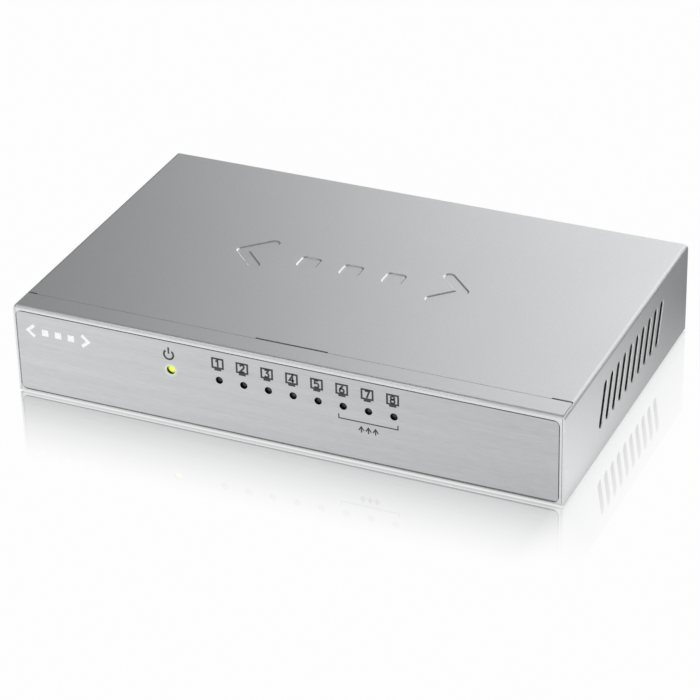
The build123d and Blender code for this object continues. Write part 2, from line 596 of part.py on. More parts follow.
def circuit_board():
    """Board drilled for its fixings, pegs and every leaded part."""
    board = block(-BOARD_HALF, BOARD_HALF, BOARD_FRONT_Y, BOARD_REAR_Y, BOARD_Z, BOARD_TOP)
    low, high = BOARD_Z - 1, BOARD_TOP + 1
    holes = [post(x, y, low, high, SCREW_RADIUS + 0.2) for x, y in BOARD_FIXINGS]
    holes += [post(x, FRONT_Y + 5.4, low, high, 1.05) for x in holder_peg_positions()]
    lead_y = LED_BASE_Y + 3.1 - LEAD / 2
    for x in [POWER_LED_X] + led_positions():
        holes += [post(x + offset, lead_y, low, high, 0.42) for offset in (-LEAD_SPREAD, LEAD_SPREAD)]
    for side in BLOCK_CENTRES:
        holes += [post(x, y, low, high, PEG_RADIUS + 0.05) for x, y in block_pegs(side)]
        leg_y = CONTACT_LEG_Y + CONTACT_THICK / 2
        holes += [post(x, leg_y, low, high, 0.38) for x in contact_positions(side)]
        holes += [block(x - 0.5, x + 0.5, y - 1.1, y + 1.1, low, high) for x, y in shield_pins(side)]
    back_y = BLOCK_FACE_Y - JACK_DEPTH
    holes.append(block(JACK_X - 1.1, JACK_X + 1.1, back_y - 0.8, back_y + 0.2, low, high))
    holes.append(block(JACK_X - 1.5, JACK_X + 1.5, JACK_SPRING_Y - 0.3, JACK_SPRING_Y + 0.7, low, high))
    return board.cut(*holes)


# ---------------------------------------------------------------- fasteners and feet

def standoff(x, y):
    """Hexagonal threaded post pressed into the chassis floor."""
    hexagon = extrude(RegularPolygon(2.5, 6, major_radius=False), amount=BOARD_Z - FLOOR_Z)
    body = Pos(x, y, FLOOR_Z) * hexagon + post(x, y, UNDER_Z, FLOOR_Z + 0.2, 2.1)
    return body - post(x, y, UNDER_Z + 0.4, BOARD_Z + 1, SCREW_RADIUS)


def board_screw(x, y):
    """Pan-head machine screw that holds the board down."""
    head = post(x, y, BOARD_TOP, BOARD_TOP + 1.9, 2.75)
    head = fillet(head.edges().sort_by(Axis.Z)[-1], 0.9)
    shank = post(x, y, BOARD_Z - 3.2, BOARD_TOP + 0.1, SCREW_RADIUS)
    return head + shank - cross_recess(x, y, BOARD_TOP + 2.0, -1.2, 3.0, 0.8)


def case_screw(x, y):
    """Low-head screw that comes up through a dimple into the cover's tab."""
    seat = UNDER_Z + CASE_RECESS_DEPTH
    head = post(x, y, seat - 0.8, seat, 2.7)
    head = chamfer(head.edges().sort_by(Axis.Z)[0], 0.25)
    shank = post(x, y, seat - 0.1, BOARD_Z - 0.9, SCREW_RADIUS)
    return head + shank - cross_recess(x, y, seat - 0.9, 0.6, 3.0, 0.8)


def rubber_foot(x, y):
    """Round pad that sits in a shallow dimple of the chassis."""
    pad = post(x, y, 0, FOOT_THICK, FOOT_RADIUS)
    return fillet(pad.edges().sort_by(Axis.Z)[0], 0.2)


# ---------------------------------------------------------------- write every node

def nodes():
    """Every separate piece of the switch, by node name."""
    pieces = {
        "bottom_chassis": [chassis()],
        "top_cover": [cover()],
        "front_label": [front_label()],
        "led_holder": [light_holder()],
        "port_leds": [light(x) for x in led_positions()],
        "power_led": [light(POWER_LED_X)],
        "led_leads": [lead for x in [POWER_LED_X] + led_positions() for lead in light_leads(x)],
        "circuit_board": [circuit_board()],
        "power_jack_housing": [jack_housing()],
        "power_jack_pin": [jack_pin()],
        "power_jack_spring": [jack_spring()],
        "switch_chip": [gull_wing_chip(*SWITCH_CHIP, 20, 14, 1.4, 38, 26, 0.5, 0.22)],
        "lan_transformers": [gull_wing_chip(x, TRANSFORMER_Y, 28, 12, 5.6, 20, 0, 1.27, 0.45)
                             for x in BLOCK_CENTRES.values()],
        "memory_chip": [gull_wing_chip(27, -12, 4.9, 3.9, 1.5, 4, 0, 1.27, 0.4)],
        "regulator_chip": [gull_wing_chip(-52, 3, 4.9, 3.9, 1.5, 4, 0, 1.27, 0.4)],
        "crystal": [crystal_can(-22, -12)],
        "filter_capacitors": [capacitor_can(x, y, 3.15, 7.7) for x, y in ((-61, 14), (-53, 13), (-50, -13))],
        "power_inductor": [power_inductor(-60, -2)],
        "input_fuse": [chip_part(-59.5, 22.5, 3.2, 1.6, 0.9)],
        "input_diode": [chip_part(-53, 22.5, 4.3, 2.6, 2.2)],
        "chip_capacitors": chip_capacitors(),
        "chip_resistors": chip_resistors(),
        "standoffs": [standoff(x, y) for x, y in BOARD_FIXINGS],
        "board_screws": [board_screw(x, y) for x, y in BOARD_FIXINGS],
        "case_screws": [case_screw(x, y) for x, y in CASE_SCREWS],
        "rubber_feet": [rubber_foot(x, y) for x, y in FOOT_CENTRES],
    }
    for side in BLOCK_CENTRES:
        pieces["port_block_" + side] = [port_block(side)]
        pieces["port_contacts_" + side] = port_contacts(side)
        pieces["port_shield_" + side] = [port_shield(side)]
    return pieces


def solids_of(shapes):
    """Flatten built shapes into plain solids."""
    return [solid for shape in shapes for solid in shape.solids()]


os.makedirs("parts", exist_ok=True)
for name, shapes in nodes().items():
    solids = solids_of(shapes)
    export_step(solids[0] if len(solids) == 1 else Compound(children=solids), f"parts/{name}.step")
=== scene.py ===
import bpy
import bmesh
import json
import math
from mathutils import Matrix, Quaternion, Vector


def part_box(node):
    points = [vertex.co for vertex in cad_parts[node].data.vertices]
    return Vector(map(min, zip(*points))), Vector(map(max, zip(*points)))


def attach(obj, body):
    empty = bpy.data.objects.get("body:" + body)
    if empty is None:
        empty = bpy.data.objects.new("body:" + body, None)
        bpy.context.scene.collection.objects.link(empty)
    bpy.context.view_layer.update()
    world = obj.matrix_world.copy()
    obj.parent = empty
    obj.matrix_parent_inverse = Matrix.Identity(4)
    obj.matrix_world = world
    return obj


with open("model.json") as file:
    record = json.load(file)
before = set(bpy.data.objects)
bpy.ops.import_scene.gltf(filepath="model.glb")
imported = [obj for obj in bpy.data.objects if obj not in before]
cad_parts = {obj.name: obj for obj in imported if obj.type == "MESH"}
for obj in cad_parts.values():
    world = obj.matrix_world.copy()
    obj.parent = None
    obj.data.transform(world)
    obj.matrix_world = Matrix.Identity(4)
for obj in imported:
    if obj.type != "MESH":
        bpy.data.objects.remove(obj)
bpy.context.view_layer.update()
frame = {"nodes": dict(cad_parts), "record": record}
NODES = frame["nodes"]
MM = 0.001

# ------------------------------------------------------------ places taken from the frame

CASE_LOW, CASE_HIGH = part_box("top_cover")
LABEL_LOW, LABEL_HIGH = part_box("front_label")
LEDS_LOW, LEDS_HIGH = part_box("port_leds")
POWER_LOW, POWER_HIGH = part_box("power_led")
BOARD_LOW, BOARD_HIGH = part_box("circuit_board")

FRONT_Y = LABEL_LOW.y
SIDE_X = CASE_HIGH.x
LED_COUNT = 8
LED_PITCH = (LEDS_HIGH.x - LEDS_LOW.x - (POWER_HIGH.x - POWER_LOW.x)) / (LED_COUNT - 1)
POWER_X = (POWER_LOW.x + POWER_HIGH.x) / 2
LED_Z = (POWER_LOW.z + POWER_HIGH.z) / 2
LED_XS = [POWER_X + LED_PITCH * (2 + i) for i in range(LED_COUNT)]

# ------------------------------------------------------------ camera

CAMERA_AZIMUTH = math.radians(24.59)
CAMERA_ELEVATION = math.radians(30.18)
CAMERA_ROLL = math.radians(1.52)
CAMERA_DISTANCE = 0.708
CAMERA_LENS = 152.9
CAMERA_AIM = Vector((0.0002, -0.0042, 0.0050))


def add_camera():
    """Long-lens view from the front right, a little above."""
    forward = Vector((-math.sin(CAMERA_AZIMUTH) * math.cos(CAMERA_ELEVATION),
                      math.cos(CAMERA_AZIMUTH) * math.cos(CAMERA_ELEVATION),
                      -math.sin(CAMERA_ELEVATION)))
    data = bpy.data.cameras.new("camera")
    data.lens = CAMERA_LENS
    data.sensor_width = 36.0
    data.clip_start = 0.01
    camera = bpy.data.objects.new("camera", data)
    bpy.context.scene.collection.objects.link(camera)
    camera.rotation_mode = "QUATERNION"
    camera.rotation_quaternion = forward.to_track_quat("-Z", "Y") @ Quaternion((0, 0, 1), -CAMERA_ROLL)
    camera.location = CAMERA_AIM - forward * CAMERA_DISTANCE
    bpy.context.scene.camera = camera


# ------------------------------------------------------------ node helpers

class Shader:
    """A material's node tree with short calls for adding and joining nodes."""

    def __init__(self, name):
        self.material = bpy.data.materials.new(name)
        self.material.use_nodes = True
        self.tree = self.material.node_tree
        self.surface = self.tree.nodes["Principled BSDF"]
        self.place = self.add("ShaderNodeTexCoord").outputs["Object"]

    def add(self, kind, **settings):
        node = self.tree.nodes.new(kind)
        for key, value in settings.items():
            setattr(node, key, value)
        return node

    def feed(self, socket, value):
        if isinstance(value, bpy.types.NodeSocket):
            self.tree.links.new(value, socket)
        else:
            socket.default_value = value

    def set(self, **values):
        for key, value in values.items():
            self.feed(self.surface.inputs[key.replace("_", " ")], value)
        return self

    def scaled(self, factors):
        node = self.add("ShaderNodeMapping")
        self.feed(node.inputs["Vector"], self.place)
        node.inputs["Scale"].default_value = factors
        return node.outputs["Vector"]

    def noise(self, scale, detail=2.0, rough=0.5, stretch=None):
        node = self.add("ShaderNodeTexNoise")
        self.feed(node.inputs["Vector"], self.scaled(stretch) if stretch else self.place)
        node.inputs["Scale"].default_value = scale
        node.inputs["Detail"].default_value = detail
        node.inputs["Roughness"].default_value = rough
        return node.outputs["Fac"]

    def cells(self, scale, feature="F1", stretch=None):
        node = self.add("ShaderNodeTexVoronoi", feature=feature)
        self.feed(node.inputs["Vector"], self.scaled(stretch) if stretch else self.place)
        node.inputs["Scale"].default_value = scale
        return node.outputs["Distance"]

    def math(self, operation, a, b=0.0, clamp=False):
        node = self.add("ShaderNodeMath", operation=operation, use_clamp=clamp)
        self.feed(node.inputs[0], a)
        self.feed(node.inputs[1], b)
        return node.outputs[0]

    def span(self, value, low, high, out_low, out_high):
        node = self.add("ShaderNodeMapRange")
        for key, item in (("Value", value), ("From Min", low), ("From Max", high),
                          ("To Min", out_low), ("To Max", out_high)):
            self.feed(node.inputs[key], item)
        return node.outputs["Result"]

    def mix(self, factor, a, b):
        node = self.add("ShaderNodeMix", data_type="RGBA")
        self.feed(node.inputs["Factor"], factor)
        self.feed(node.inputs["A"], a)
        self.feed(node.inputs["B"], b)
        return node.outputs["Result"]

    def axis(self, name):
        node = self.add("ShaderNodeSeparateXYZ")
        self.feed(node.inputs[0], self.place)
        return node.outputs[name]

    def normal(self, name):
        node = self.add("ShaderNodeSeparateXYZ")
        self.feed(node.inputs[0], self.add("ShaderNodeTexCoord").outputs["Normal"])
        return node.outputs[name]

    def distance_from(self, x, z):
        off_x = self.math("SUBTRACT", self.axis("X"), x)
        off_z = self.math("SUBTRACT", self.axis("Z"), z)
        squares = self.math("ADD", self.math("MULTIPLY", off_x, off_x), self.math("MULTIPLY", off_z, off_z))
        return self.math("SQRT", squares)

    def bump(self, height, strength, distance=0.0001, before=None):
        node = self.add("ShaderNodeBump")
        node.inputs["Strength"].default_value = strength
        node.inputs["Distance"].default_value = distance
        self.feed(node.inputs["Height"], height)
        if before is not None:
            self.feed(node.inputs["Normal"], before)
        return node.outputs["Normal"]


def grey(value):
    return (value, value, value, 1.0)


# ------------------------------------------------------------ materials

# Width of the painted highlight band at the outer face of each vent wall.
BRIGHT_EDGE = 0.27 * MM
WINDOW_RADIUS = 1.0 * MM
SPILL_RADIUS = 1.9 * MM


def painted_power_glow(s):
    """Painted glow: emission on the window and the face round the lit lens, standing in for the faint light
    it throws there.
    """
    near = s.span(s.distance_from(POWER_X, LED_Z), WINDOW_RADIUS, SPILL_RADIUS, 0.32, 0.0)
    at_front = s.math("LESS_THAN", s.axis("Y"), FRONT_Y + 3 * MM)
    s.set(Emission_Color=(0.62, 0.72, 0.2, 1), Emission_Strength=s.math("MULTIPLY", near, at_front))


def silver_paint():
    """Metallic powder coat outside; a painted highlight on the outer part of the punched vent walls; bare
    galvanised steel inside, painted far darker than it is as shade so the vents read dark.
    """
    s = Shader("silver_paint")
    grain = s.noise(3200.0, 2.0, 0.6)
    flakes = s.cells(2600.0)
    cloud = s.noise(28.0, 3.0)
    tone = s.math("ADD", s.span(grain, 0.3, 0.7, -0.06, 0.06), s.span(cloud, 0.3, 0.7, -0.02, 0.02))
    tone = s.math("ADD", tone, s.span(flakes, 0.0, 0.6, 0.06, -0.03))
    level = s.math("ADD", tone, 0.5, clamp=True)
    paint = s.mix(level, (0.49, 0.5, 0.51, 1), (0.98, 0.995, 1.0, 1))

    # Painted highlight: the outer band of each vent wall is near-white and not metallic, standing in for
    # light on the far walls.
    beside = s.math("ABSOLUTE", s.axis("X"))
    facing = s.math("ABSOLUTE", s.normal("X"))
    in_wall = s.math("MULTIPLY", s.math("GREATER_THAN", beside, SIDE_X - BRIGHT_EDGE),
                     s.math("LESS_THAN", facing, 0.5))
    in_vents = s.math("MULTIPLY", s.math("LESS_THAN", s.axis("Z"), CASE_HIGH.z - 3.0 * MM),
                      s.math("LESS_THAN", s.math("ABSOLUTE", s.axis("Y")), CASE_HIGH.y - 8.0 * MM))
    edge = s.math("MULTIPLY", in_wall, in_vents)

    # Painted shade: inside faces take a bare-metal colour far darker than the real plating, so the vents
    # read dark.
    within_x = s.math("LESS_THAN", beside, SIDE_X - BRIGHT_EDGE)
    within_y = s.math("LESS_THAN", s.math("ABSOLUTE", s.axis("Y")), CASE_HIGH.y - 0.7 * MM)
    within_z = s.math("MULTIPLY", s.math("LESS_THAN", s.axis("Z"), CASE_HIGH.z - 0.42 * MM),
                      s.math("GREATER_THAN", s.axis("Z"), CASE_LOW.z + 0.6 * MM))
    inside = s.math("MULTIPLY", s.math("MULTIPLY", within_x, within_y), within_z)
    spangle = s.cells(160.0)
    zinc_and_shade = s.mix(s.span(spangle, 0.0, 0.8, 0.0, 1.0), grey(0.03), grey(0.08))
    colour = s.mix(inside, paint, zinc_and_shade)
    colour = s.mix(edge, colour, grey(0.95))
    metal = s.math("MULTIPLY", s.math("SUBTRACT", 1.0, edge), 0.65)
    on_top = s.math("GREATER_THAN", s.axis("Z"), CASE_HIGH.z - 0.4 * MM)
    central = s.math("LESS_THAN", beside, SIDE_X - 20 * MM)
    steep = s.span(s.normal("Z"), 0.97, 0.85, 0.0, 1.0)
    stamped = s.math("MULTIPLY", s.math("MULTIPLY", on_top, central), steep)
    rough = s.math("SUBTRACT", s.span(grain, 0.25, 0.75, 0.36, 0.5), s.math("MULTIPLY", stamped, 0.2))
    s.set(Base_Color=colour, Metallic=metal, Roughness=rough)
    # painted glow round the power light
    painted_power_glow(s)
    peel = s.bump(s.noise(900.0, 1.0), 0.25, 0.00004)
    s.set(Normal=s.bump(grain, 0.35, 0.00003, peel))
    return s.material


def brushed_overlay():
    """Brushed aluminium-look film: fine horizontal strokes, with painted shade along its lower, top and
    right edges and on its edge faces.
    """
    s = Shader("brushed_overlay")
    long_strokes = s.noise(1.0, 4.0, 0.7, stretch=(60.0, 900.0, 5200.0))
    short_strokes = s.noise(1.0, 3.0, 0.7, stretch=(330.0, 900.0, 4200.0))
    bands = s.noise(1.0, 2.0, 0.5, stretch=(9.0, 100.0, 420.0))
    strokes = s.math("ADD", s.math("MULTIPLY", long_strokes, 0.45), s.math("MULTIPLY", short_strokes, 0.55))
    level = s.math("ADD", s.span(strokes, 0.3, 0.7, 0.36, 0.64), s.span(bands, 0.3, 0.7, -0.04, 0.04),
                   clamp=True)
    film = s.mix(level, (0.355, 0.365, 0.375, 1), (0.77, 0.782, 0.795, 1))
    # Painted shade: a dark band along the bottom (wider towards the right), the top and the right of the
    # film, and on its edge faces, stands in for the shadow gap round it.
    to_right = s.span(s.axis("X"), LABEL_LOW.x, LABEL_HIGH.x, 0.16 * MM, 0.34 * MM)
    from_low = s.math("SUBTRACT", s.axis("Z"), LABEL_LOW.z)
    low_edge = s.math("LESS_THAN", from_low, to_right)
    top_edge = s.math("GREATER_THAN", s.axis("Z"), LABEL_HIGH.z - 0.12 * MM)
    right_edge = s.math("GREATER_THAN", s.axis("X"), LABEL_HIGH.x - 0.1 * MM)
    border_shade = s.math("MAXIMUM", s.math("MAXIMUM", low_edge, top_edge), right_edge)
    wall = s.math("GREATER_THAN", s.normal("Y"), -0.5)
    painted_edge_shade = s.math("MAXIMUM", s.math("MULTIPLY", border_shade, 0.72), wall)
    colour = s.mix(painted_edge_shade, film, grey(0.06))
    s.set(Base_Color=colour, Metallic=0.85, Roughness=s.span(strokes, 0.3, 0.7, 0.3, 0.42))
    # painted glow round the power light
    painted_power_glow(s)
    s.set(Normal=s.bump(strokes, 0.2, 0.00003))
    return s.material


def printed_ink(name, value):
    """Screen-printed ink with slightly uneven cover."""
    s = Shader(name)
    cover = s.noise(2400.0, 2.0)
    colour = s.mix(s.span(cover, 0.3, 0.7, 0.0, 1.0), grey(value * 0.85), grey(min(1.0, value * 1.15)))
    s.set(Base_Color=colour, Roughness=s.span(cover, 0.3, 0.7, 0.42, 0.6),
          Normal=s.bump(cover, 0.15, 0.00002))
    return s.material


def black_plastic():
    """Glass-filled black moulding with a fine spark-eroded texture."""
    s = Shader("black_plastic")
    grain = s.noise(2600.0, 3.0, 0.6)
    fill = s.cells(1400.0)
    level = s.math("ADD", s.span(grain, 0.3, 0.7, 0.0, 0.7), s.span(fill, 0.0, 0.15, 0.3, 0.0), clamp=True)
    colour = s.mix(level, (0.010, 0.010, 0.011, 1), (0.032, 0.032, 0.034, 1))
    s.set(Base_Color=colour, Roughness=s.span(grain, 0.3, 0.7, 0.42, 0.62),
          Normal=s.bump(grain, 0.35, 0.00004))
    return s.material


def unlit_lens():
    """Smoked clear resin of an unlit light."""
    s = Shader("led_lens")
    swirl = s.noise(700.0, 2.0)
    colour = s.mix(s.span(swirl, 0.3, 0.7, 0.0, 1.0), (0.012, 0.013, 0.012, 1), (0.03, 0.034, 0.03, 1))
    s.set(Base_Color=colour, Roughness=s.span(swirl, 0.3, 0.7, 0.12, 0.2))
    return s.material


def lit_lens():
    """Yellow-green light; its bright spot towards the upper right is a painted highlight, and the deeper
    rim, darkest at the lower left, a painted shade.
    """
    s = Shader("lit_lens")
    # Painted highlight and shade: the brightness centre sits up and to the right of the lens centre.
    radius = s.distance_from(POWER_X + 0.35 * MM, LED_Z + 0.3 * MM)
    swirl = s.noise(900.0, 2.0)
    glow = s.math("ADD", s.span(radius, 0.4 * MM, 1.7 * MM, 1.0, 0.0),
                  s.span(swirl, 0.3, 0.7, -0.08, 0.08), clamp=True)
    colour = s.mix(glow, (0.24, 0.32, 0.02, 1), (0.66, 0.80, 0.07, 1))
    s.set(Base_Color=colour, Roughness=0.25, Emission_Color=colour, Emission_Strength=0.75)
    return s.material


def plated(name, dark, light, rough_low, rough_high, tint=(1.0, 1.0, 1.0)):
    """Bright plated metal with fine handling marks and faint staining."""
    s = Shader(name)
    stain = s.noise(260.0, 3.0)
    marks = s.noise(1.0, 2.0, 0.7, stretch=(700.0, 2600.0, 700.0))
    level = s.math("ADD", s.span(stain, 0.3, 0.7, 0.0, 0.7), s.span(marks, 0.35, 0.65, 0.0, 0.3),
                   clamp=True)
    colour = s.mix(level, tuple(dark * c for c in tint) + (1,), tuple(light * c for c in tint) + (1,))
    s.set(Base_Color=colour, Metallic=1.0, Roughness=s.span(marks, 0.3, 0.7, rough_low, rough_high))
    s.set(Normal=s.bump(marks, 0.15, 0.00002))
    return s.material


def board_mask():
    """Green solder resist over faint traces, with a bare laminate edge."""
    s = Shader("board_green")
    weave = s.noise(1800.0, 2.0)
    across = s.add("ShaderNodeTexBrick", offset=0.35)
    s.feed(across.inputs["Vector"], s.place)
    across.inputs["Scale"].default_value = 1.0
    across.inputs["Brick Width"].default_value = 9.0 * MM
    across.inputs["Row Height"].default_value = 0.9 * MM
    across.inputs["Mortar Size"].default_value = 0.16 * MM
    trace = across.outputs["Fac"]
    ground = s.mix(s.span(weave, 0.3, 0.7, 0.0, 1.0), (0.008, 0.075, 0.028, 1), (0.014, 0.11, 0.042, 1))
    colour = s.mix(s.math("MULTIPLY", trace, 0.6), ground, (0.03, 0.21, 0.08, 1))
    height = s.axis("Z")
    face = s.math("MULTIPLY", s.math("GREATER_THAN", height, BOARD_LOW.z + 0.05 * MM),
                  s.math("LESS_THAN", height, BOARD_HIGH.z - 0.05 * MM))
    colour = s.mix(face, colour, (0.24, 0.2, 0.11, 1))
    s.set(Base_Color=colour, Roughness=s.span(weave, 0.3, 0.7, 0.3, 0.42),
          Normal=s.bump(trace, 0.2, 0.00003))
    return s.material


def chip_epoxy():
    """Moulded epoxy body; leads that reach the board are tinned."""
    s = Shader("chip_epoxy")
    grain = s.noise(3000.0, 3.0, 0.65)
    low = s.math("LESS_THAN", s.axis("Z"), BOARD_HIGH.z + 0.11 * MM)
    colour = s.mix(s.span(grain, 0.3, 0.7, 0.0, 1.0), (0.012, 0.012, 0.013, 1), (0.034, 0.034, 0.036, 1))
    s.set(Base_Color=s.mix(low, colour, (0.72, 0.72, 0.7, 1)), Metallic=low,
          Roughness=s.span(grain, 0.3, 0.7, 0.45, 0.65), Normal=s.bump(grain, 0.3, 0.00003))
    return s.material


def capacitor_can():
    """Bare aluminium can over a black base."""
    s = Shader("capacitor_can")
    spin = s.noise(1.0, 3.0, 0.6, stretch=(500.0, 500.0, 4200.0))
    base = s.math("LESS_THAN", s.axis("Z"), BOARD_HIGH.z + 0.8 * MM)
    metal = s.mix(s.span(spin, 0.3, 0.7, 0.0, 1.0), grey(0.55), grey(0.8))
    s.set(Base_Color=s.mix(base, metal, grey(0.02)), Metallic=s.math("SUBTRACT", 1.0, base),
          Roughness=s.span(spin, 0.3, 0.7, 0.26, 0.4), Normal=s.bump(spin, 0.2, 0.00003))
    return s.material


def fired(name, dark, light):
    """Fired ceramic or ferrite: fine pores and uneven tone."""
    s = Shader(name)
    pores = s.cells(1500.0)
    tone = s.noise(400.0, 3.0)
    colour = s.mix(s.span(tone, 0.3, 0.7, 0.0, 1.0), dark, light)
    s.set(Base_Color=colour, Roughness=s.span(tone, 0.3, 0.7, 0.5, 0.7), Normal=s.bump(pores, 0.3, 0.00003))
    return s.material


def foot_rubber():
    """Matt black rubber with a fine moulded grain."""
    s = Shader("foot_rubber")
    grain = s.noise(1800.0, 3.0, 0.6)
    dust = s.noise(240.0, 3.0)
    colour = s.mix(s.span(dust, 0.35, 0.7, 0.0, 1.0), (0.018, 0.018, 0.019, 1), (0.05, 0.05, 0.051, 1))
    s.set(Base_Color=colour, Roughness=s.span(grain, 0.3, 0.7, 0.7, 0.9),
          Normal=s.bump(grain, 0.4, 0.00005))
    return s.material


def dress_nodes():
    """Every CAD node takes the finish its record slot names."""
    finishes = {
        "silver_paint": silver_paint(),
        "brushed_overlay": brushed_overlay(),
        "black_plastic": black_plastic(),
        "led_lens": unlit_lens(),
        "lit_lens": lit_lens(),
        "tinned_wire": plated("tinned_wire", 0.5, 0.72, 0.25, 0.4),
        "board_green": board_mask(),
        "gold_contact": plated("gold_contact", 0.75, 0.95, 0.18, 0.3, tint=(1.0, 0.72, 0.3)),
        "plated_shield": plated("plated_shield", 0.55, 0.78, 0.2, 0.36),
        "nickel_pin": plated("nickel_pin", 0.6, 0.82, 0.16, 0.3, tint=(1.0, 0.98, 0.94)),
        "chip_epoxy": chip_epoxy(),
        "capacitor_can": capacitor_can(),
        "ferrite": fired("ferrite", grey(0.03), grey(0.08)),
        "ceramic": fired("ceramic", (0.3, 0.22, 0.13, 1), (0.5, 0.38, 0.25, 1)),
        "zinc_steel": plated("zinc_steel", 0.5, 0.72, 0.28, 0.42, tint=(0.97, 0.99, 1.0)),
        "foot_rubber": foot_rubber(),
    }
    slot_of = {row["node"]: row["material_slot"] for row in frame["record"]["subparts"]}
    for name, node in NODES.items():
        node.data.materials.clear()
        node.data.materials.append(finishes[slot_of[name]])


# ------------------------------------------------------------ printed marks

INK_LIFT = 0.012 * MM
ICON_WIDTH = 3.15 * MM
ICON_HEIGHT = 2.85 * MM
ICON_LINE = 0.46 * MM
ICON_TOP = 5.82 * MM
DIGIT_HEIGHT = 2.25 * MM
STAND_WIDTH = 1.75 * MM
STAND_HEIGHT = 0.5 * MM
ICON_SHIFT = -0.25 * MM


# each digit is drawn in a cell one unit tall, centred on zero
DIGIT_STROKES = {
    1: [(-0.28, 0.74), (0.03, 1.0), (0.03, 0.0)],
    2: [(-0.3, 0.78), (-0.18, 0.96), (0.02, 1.0), (0.2, 0.95), (0.28, 0.75), (0.2, 0.55),
        (-0.28, 0.0), (0.32, 0.0)],
    3: [(-0.28, 1.0), (0.26, 1.0), (0.0, 0.6), (0.2, 0.52), (0.29, 0.3), (0.2, 0.06),
        (-0.05, 0.0), (-0.3, 0.12)],
    4: [(0.14, 0.0), (0.14, 1.0), (-0.3, 0.28), (0.36, 0.28)],
    5: [(0.26, 1.0), (-0.22, 1.0), (-0.25, 0.58), (0.02, 0.64), (0.2, 0.56), (0.29, 0.32),
        (0.2, 0.06), (-0.05, 0.0), (-0.3, 0.12)],
    6: [(0.18, 1.0), (-0.08, 0.78), (-0.24, 0.48)],
    7: [(-0.3, 1.0), (0.3, 1.0), (-0.06, 0.0)],
}
# height of the ring's middle, and its radius
DIGIT_RINGS = {6: [(0.3, 0.29)], 8: [(0.76, 0.24), (0.27, 0.28)]}


class Print:
    """Flat ink shapes on the front panel, in metres, x right and z up."""

    def __init__(self, name, slot):
        self.name = name
        self.slot = slot
        self.mesh = bmesh.new()
        self.y = FRONT_Y - INK_LIFT

    def polygon(self, points):
        self.mesh.faces.new([self.mesh.verts.new((x, self.y, z)) for x, z in points])

    def box(self, x0, x1, z0, z1):
        self.polygon([(x0, z0), (x1, z0), (x1, z1), (x0, z1)])

    def stroke(self, points, width):
        """Line of even width with mitred corners."""
        sides = ([], [])
        count = len(points)
        for i, point in enumerate(points):
            here = Vector(point)
            before = (here - Vector(points[i - 1])).normalized() if i else None
            after = (Vector(points[i + 1]) - here).normalized() if i + 1 < count else None
            along = ((before or after) + (after or before)).normalized()
            across = Vector((-along.y, along.x))
            reach = width / 2
            if before and after:
                reach /= max(0.3, along.dot(after))
            sides[0].append(here + across * reach)
            sides[1].append(here - across * reach)
        for i in range(count - 1):
            self.polygon([sides[0][i], sides[1][i], sides[1][i + 1], sides[0][i + 1]])

    def ring(self, cx, cz, radius, width, start, end, steps=40):
        turn = [start + (end - start) * i / steps for i in range(steps + 1)]
        self.stroke([(cx + radius * math.sin(a), cz + radius * math.cos(a)) for a in turn], width)

    def digit(self, number, cx, base_z, height):
        """One digit in plain strokes, centred on cx."""
        width = height * 0.2
        tall = height - width
        low = base_z + width / 2
        if number in DIGIT_STROKES:
            self.stroke([(cx + x * tall, low + z * tall) for x, z in DIGIT_STROKES[number]], width)
        for middle, radius in DIGIT_RINGS.get(number, []):
            self.ring(cx, low + middle * tall, radius * tall, width, 0.0, math.tau, steps=24)

    def finish(self, material):
        bmesh.ops.remove_doubles(self.mesh, verts=self.mesh.verts, dist=1e-7)
        data = bpy.data.meshes.new(self.name)
        self.mesh.to_mesh(data)
        self.mesh.free()
        piece = bpy.data.objects.new(self.name, data)
        bpy.context.scene.collection.objects.link(piece)
        for face in data.polygons:
            if face.normal.y > 0:
                face.flip()
        data.materials.append(material)
        thick = piece.modifiers.new("ink_film", "SOLIDIFY")
        thick.thickness = INK_LIFT
        thick.offset = -1.0
        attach(piece, "root")
        return piece


def port_icons(ink):
    """A small screen outline with its port number over each light."""
    marks = Print("panel_port_icons", "black_plastic")
    for number, x in enumerate([led_x + ICON_SHIFT for led_x in LED_XS], 1):
        top = LED_Z + ICON_TOP
        low = top - ICON_HEIGHT
        left, right = x - ICON_WIDTH / 2, x + ICON_WIDTH / 2
        marks.box(left, right, top - ICON_LINE, top)
        marks.box(left, right, low, low + ICON_LINE)
        marks.box(left, left + ICON_LINE, low + ICON_LINE, top - ICON_LINE)
        marks.box(right - ICON_LINE, right, low + ICON_LINE, top - ICON_LINE)
        marks.box(x - STAND_WIDTH / 2, x + STAND_WIDTH / 2, low - STAND_HEIGHT, low)
        marks.digit(number, x, low + ICON_LINE * 0.6, DIGIT_HEIGHT)
    return marks.finish(ink)


def power_icon(ink):
    """Broken ring with an upright bar over the power light."""
    marks = Print("panel_power_icon", "black_plastic")
    centre_z = LED_Z + 4.05 * MM
    centre_x = POWER_X + ICON_SHIFT * 1.4
    marks.ring(centre_x, centre_z, 1.2 * MM, 0.48 * MM, math.radians(38), math.radians(322))
    marks.box(centre_x - 0.21 * MM, centre_x + 0.21 * MM, centre_z + 0.25 * MM, centre_z + 1.95 * MM)
    return marks.finish(ink)


def priority_bracket(ink):
    """Line under the last three lights, with three small up-arrows below it."""
    marks = Print("panel_bracket", "black_plastic")
    left = LED_XS[5] - 1.15 * MM
    right = LED_XS[7] + 0.95 * MM
    low = LED_Z - 3.2 * MM
    marks.stroke([(left, low + 1.1 * MM), (left, low), (right, low), (right, low + 1.1 * MM)], 0.28 * MM)
    middle = (left + right) / 2
    for i in (-1, 0, 1):
        x = middle + i * 1.75 * MM
        half, base, tip = 0.65 * MM, low - 2.75 * MM, low - 1.2 * MM
        marks.stroke([(x - half, base + 0.55 * MM), (x, tip), (x + half, base + 0.55 * MM)], 0.3 * MM)
        marks.box(x - 0.15 * MM, x + 0.15 * MM, base, tip - 0.3 * MM)
    return marks.finish(ink)


